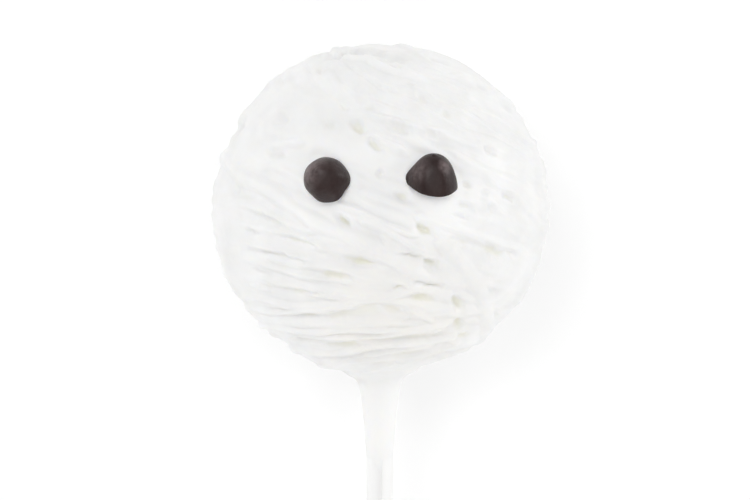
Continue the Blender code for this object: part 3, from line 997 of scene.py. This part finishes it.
def stick_mesh():
    """A rod whose skin steps down at the seam, with a fine spiral groove on its cut end."""
    turn = Vector(stick_axis).to_track_quat("Z", "Y").to_matrix()
    start = Vector(BALL_CENTRE)
    shape = bmesh.new()
    seam = shape.verts.layers.float.new("seam")

    def point(angle, radius, along):
        angle += SEAM_ANGLE + SEAM_TWIST * along / STICK_LENGTH
        spot = Vector((radius * math.cos(angle), radius * math.sin(angle), along))
        return shape.verts.new((start + turn @ spot) * MM)

    def skin(angle):
        return STICK_RADIUS - SEAM_STEP * max(0, 1 - angle / SEAM_SPAN) ** 2

    angles = [math.tau * n / STICK_SIDES for n in range(STICK_SIDES)]
    profile = [(STICK_CHAMFER, 0.0)]
    for row in range(STICK_ROWS + 1):
        profile.append((0.0, STICK_CHAMFER + (STICK_LENGTH - 2 * STICK_CHAMFER) * row / STICK_ROWS))
    loops = [[point(a, skin(a) - cut, along) for a in angles] for cut, along in profile]
    for ring in range(END_RINGS):
        share = 1 - ring / END_RINGS
        loop = []
        for a in angles:
            groove = math.sin(math.tau * share * PAPER_TURNS - a)
            dip = GROOVE_DEPTH * (groove - 1) if ring > 0 else 0
            loop.append(point(a, (skin(a) - STICK_CHAMFER) * share, STICK_LENGTH + dip))
        loops.append(loop)
    for loop in loops:
        for vert, angle in zip(loop, angles):
            vert[seam] = max(0, 1 - angle / SEAM_SPAN)
    skinned(shape, loops, point(0, 0, 0.0), point(0, 0, STICK_LENGTH - END_DIP))
    mesh = smooth_mesh(shape, "paper_stick")
    mesh.set_sharp_from_angle(angle=STICK_SHARP)
    return mesh


def paper_look():
    """Matte white paper with fibres along it, a little darker in the shade of the seam."""
    look = Look("white_paper")
    fibres = look.noise(0.0009, 5, stretch=(1, 0.12, 1))
    wrap = look.mixed(fibres, PAPER_GREY, PAPER_WHITE)
    look.set("Base Color", look.mixed(look.attribute("seam"), wrap, SEAM_SHADE))
    look.set("Roughness", look.noise(0.0006, 3, low=0.62, high=0.8))
    look.bumpy(0.3, 0.00004, fibres)
    return look.material


paper = stick_mesh()
paper.materials.append(paper_look())
stick = shown("paper_stick", paper)
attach(stick, "root")
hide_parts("stick")

# Floor. A white sweep that the pop lies on, so bright that it glows a little. It is stage and no part
# of the pop.
FLOOR_HALF = 2
floor_mesh = bpy.data.meshes.new("floor")
corners = [(x * FLOOR_HALF, y * FLOOR_HALF, 0) for x, y in ((-1, -1), (1, -1), (1, 1), (-1, 1))]
floor_mesh.from_pydata(corners, [], [(0, 1, 2, 3)])
floor = shown("floor", floor_mesh)
look = Look("floor_white")
look.set("Base Color", (0.93, 0.93, 0.93, 1))
look.set("Roughness", 0.9)
look.set("Emission Color", (1, 1, 1, 1))
look.set("Emission Strength", 0.12)
floor_mesh.materials.append(look.material)
floor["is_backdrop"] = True

# Studio. White walls round the table and a white ceiling with bright panels, made as bands of light one
# over another, and four softboxes that look at the pop.
SKY_TOP = 2.0
SOFTBOX_DISTANCE = 0.6
# sine of the height above the horizon, and brightness
SKY = [(0.0, 0.87), (0.34, 0.87), (0.48, 0.33), (0.72, 0.33), (0.86, 1.54), (0.94, 1.54), (0.985, 0.48)]
# degrees round the pop from the right, degrees above the floor, width in metres and power in watts
SOFTBOXES = [(135, 66, 0.32, 0.5), (275, 12, 0.5, 0.62), (16, 14, 0.12, 0.54), (168, 10, 0.1, 0.22)]

world = bpy.data.worlds.new("studio")
bpy.context.scene.world = world
world.use_nodes = True
sky = Nodes(world.node_tree)
ways = sky.tree.nodes.new("ShaderNodeTexCoord").outputs["Generated"]
bands = sky.node("ShaderNodeValToRGB", sky.node("ShaderNodeSeparateXYZ", ways).node.outputs["Z"])
stops = bands.node.color_ramp.elements
stops.remove(stops[-1])
for height, level in SKY:
    stop = stops.new(height) if height > 0 else stops[0]
    stop.color = (level / SKY_TOP, level / SKY_TOP, level / SKY_TOP, 1)
background = sky.tree.nodes["Background"]
sky.tree.links.new(bands, background.inputs["Color"])
background.inputs["Strength"].default_value = SKY_TOP

for turn, lift, size, power in SOFTBOXES:
    turn, lift = math.radians(turn), math.radians(lift)
    lamp = bpy.data.lights.new("softbox", "AREA")
    lamp.energy = power
    lamp.size = size
    item = shown("softbox", lamp)
    out = Vector((math.cos(turn) * math.cos(lift), math.sin(turn) * math.cos(lift), math.sin(lift)))
    item.location = out * SOFTBOX_DISTANCE
    item.rotation_euler = (-out).to_track_quat("-Z", "Y").to_euler()

# Camera. It looks straight down at the face from far above, so that the ball sits in the picture as it
# does in the photo.
PHOTO_WIDTH = 750
PIXELS_PER_MM = 7.86
# pixels that the ball's middle is to the right of and above the middle of the photo
BALL_IN_PHOTO = (5, 44)
CAMERA_DISTANCE = 450.0
SENSOR_WIDTH = 36
view = bpy.data.cameras.new("camera")
view.sensor_width = SENSOR_WIDTH
view.lens = SENSOR_WIDTH * CAMERA_DISTANCE / (PHOTO_WIDTH / PIXELS_PER_MM)
camera = shown("camera", view)
right, up = (-pixels / PIXELS_PER_MM for pixels in BALL_IN_PHOTO)
camera.location = Vector((right, up, BALL_HEIGHT + CAMERA_DISTANCE)) * MM
bpy.context.scene.camera = camera
bpy.context.scene.view_settings.view_transform = "Standard"

sizes = {"cad": [list(corner) for corner in cad_box], "visual": [list(corner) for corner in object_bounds()]}
